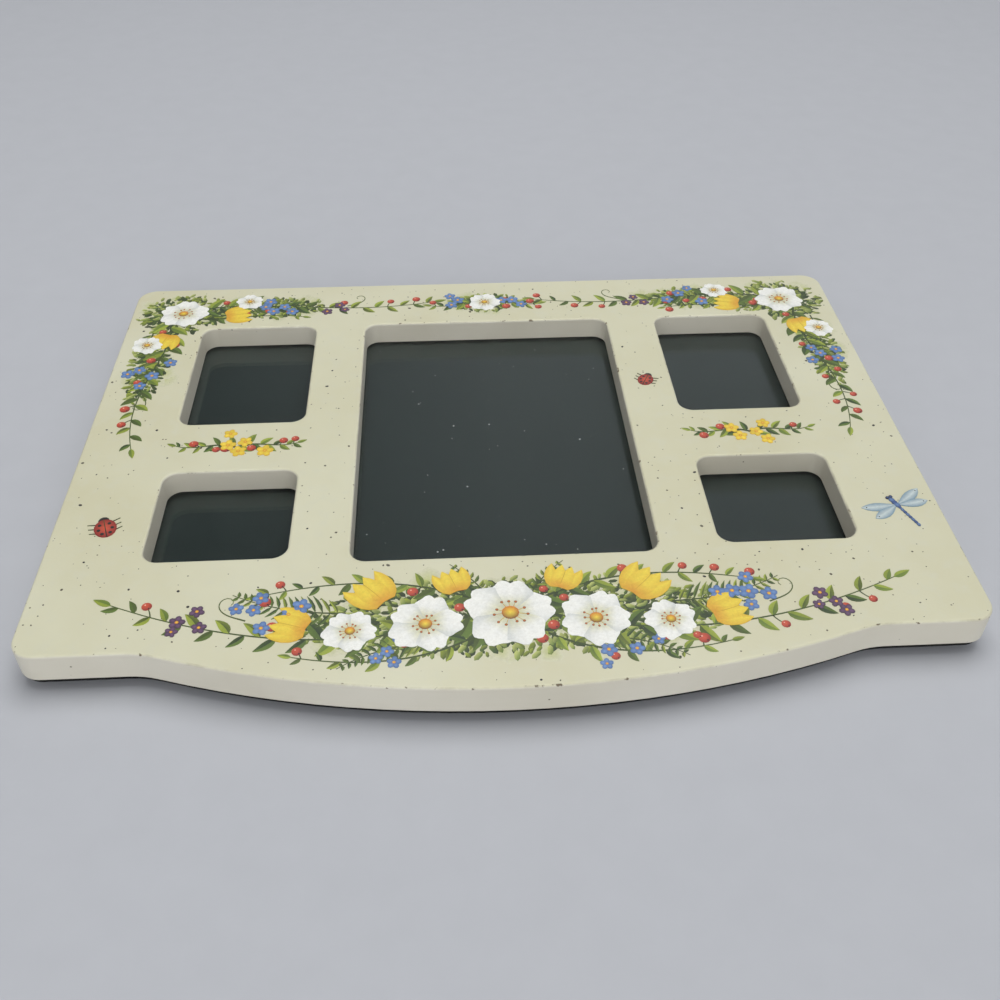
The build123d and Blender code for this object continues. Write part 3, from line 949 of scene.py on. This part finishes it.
def top_sprig(paint):
    """A small bunch in the middle of the top edge."""
    foliage(paint, 0, 116, 22, 9, 150)
    for way in (-1, 1):
        branch(paint, [(0, 115), (way * 8, 120), (way * 16, 111), (way * 27, 114)], 8, 9, 0.4)
        bloom_cluster(paint, way * 13, 117, 3, 3, 6, BLUE, DEEP_BLUE)
    blossom(paint, 0, 116, 16)


def painted_flowers(material):
    """All the painted decoration."""
    paint = Paint(FRONT, FLOWER_SEED)
    bottom_swag(paint)
    top_sprig(paint)
    for way in (-1, 1):
        corner_spray(paint, way)
        side_sprig(paint, way)
    ladybird(paint, -157, -46, 1.9, 11)
    ladybird(paint, 72, 44, 1.1, 9)
    dragonfly(paint, 160.5, -48, 1.95, 26)
    paint.build(material)


def paint_specks(material):
    """Dark flecks flicked over the cream ground."""
    paint = Paint(FRONT, SPECK_SEED)
    paint.use("paint_specks")
    chance = paint.chance
    made = 0
    while made < SPECK_COUNT:
        x, y = chance.uniform(BOARD_LOW.x, BOARD_HIGH.x), chance.uniform(BOARD_LOW.y, BOARD_HIGH.y)
        if not on_board(x, y):
            continue
        made += 1
        radius = min(SPECK_LARGEST, SPECK_SMALLEST * math.exp(abs(chance.gauss(0, 0.6))))
        colour = paint.varied(chance.choice(SPECK_TONES), 0.2)
        plain = lambda r, angle: colour
        stretch, turn = chance.uniform(1, 1.5), chance.uniform(0, 3)
        paint.disc(x, y, radius, SPECK_LIFT, 0.01, plain, sides=7, stretch=stretch, turn=turn)
    paint.build(material)


def glass_dust(material):
    """Pale dust on the middle pane."""
    paint = Paint(PANE_HIGH.z, DUST_SEED)
    paint.use("glass_dust")
    low, high = WINDOWS[0]
    for k in range(DUST_COUNT):
        x = paint.chance.uniform(low.x + DUST_INSET, high.x - DUST_INSET)
        y = paint.chance.uniform(low.y + DUST_INSET, high.y - DUST_INSET)
        colour = paint.varied(DUST_GREY, 0.3)
        plain = lambda r, angle: colour
        radius = min(DUST_LARGEST, DUST_SMALLEST * math.exp(abs(paint.chance.gauss(0, 0.75))))
        paint.disc(x, y, radius, DUST_LIFT, 0.02, plain, sides=6)
    paint.build(material)


# Stage, light and camera
def table():
    """A plain pale table that melts into the room far from the frame."""
    surface = Surface("pale_table", Specular_IOR_Level=0.25, Roughness=0.85)
    surface.colour(surface.mix(surface.noise(60, 4, 0.6), TABLE_GREY, TABLE_PALE))
    reach = surface.nodes.new("ShaderNodeVectorMath")
    reach.operation = "LENGTH"
    surface.links.new(surface.coordinates["Object"], reach.inputs[0])
    far = surface.remap(reach.outputs["Value"], TABLE_FADE_START, TABLE_FADE_END)
    surface.fade(surface.times(far, surface.seen()), ROOM_PALE)
    bpy.ops.mesh.primitive_plane_add(size=TABLE_SIZE)
    floor = bpy.context.object
    floor.name = "table"
    floor.data.materials.append(surface.material)


def soft_room():
    """A softly lit room, dimmer on the left, whose walls look pale low down."""
    world = bpy.data.worlds.new("soft_room")
    room = Patterns(world)
    right, ahead, up = room.split(room.coordinates["Generated"])
    light = room.mix(room.remap(right, -0.22, 0.05), ROOM_DIM, ROOM_LIT)
    walls = room.mix(room.remap(up, 0.25, 0.5), ROOM_PALE, light)
    room.join(room.mix(room.seen(), light, walls), room.nodes["Background"].inputs["Color"])
    bpy.context.scene.world = world


def area_light(name, place, width, power):
    """A square lamp that faces the middle of the board."""
    light = bpy.data.lights.new(name, "AREA")
    light.size = width
    light.energy = power
    lamp = bpy.data.objects.new(name, light)
    lamp.location = place
    lamp.rotation_euler = (-Vector(place)).to_track_quat("-Z", "Y").to_euler()
    bpy.context.scene.collection.objects.link(lamp)


def photo_camera():
    """Sets up the photograph's camera."""
    data = bpy.data.cameras.new("photo_camera")
    data.sensor_width = CAMERA_SENSOR
    data.lens = CAMERA_LENS
    data.clip_start = CAMERA_NEAR
    camera = bpy.data.objects.new("photo_camera", data)
    camera.location = CAMERA_PLACE
    camera.rotation_mode = "QUATERNION"
    level = (CAMERA_AIM - CAMERA_PLACE).to_track_quat("-Z", "Y")
    camera.rotation_quaternion = level @ Quaternion((0, 0, 1), CAMERA_ROLL)
    bpy.context.scene.collection.objects.link(camera)
    bpy.context.scene.camera = camera


finish_cad_nodes()
pigment_material = pigment()
painted_flowers(pigment_material)
paint_specks(pigment_material)
glass_dust(pigment_material)
table()
soft_room()
for lamp in LAMPS:
    area_light(*lamp)
photo_camera()
bpy.context.scene.view_settings.view_transform = "Standard"
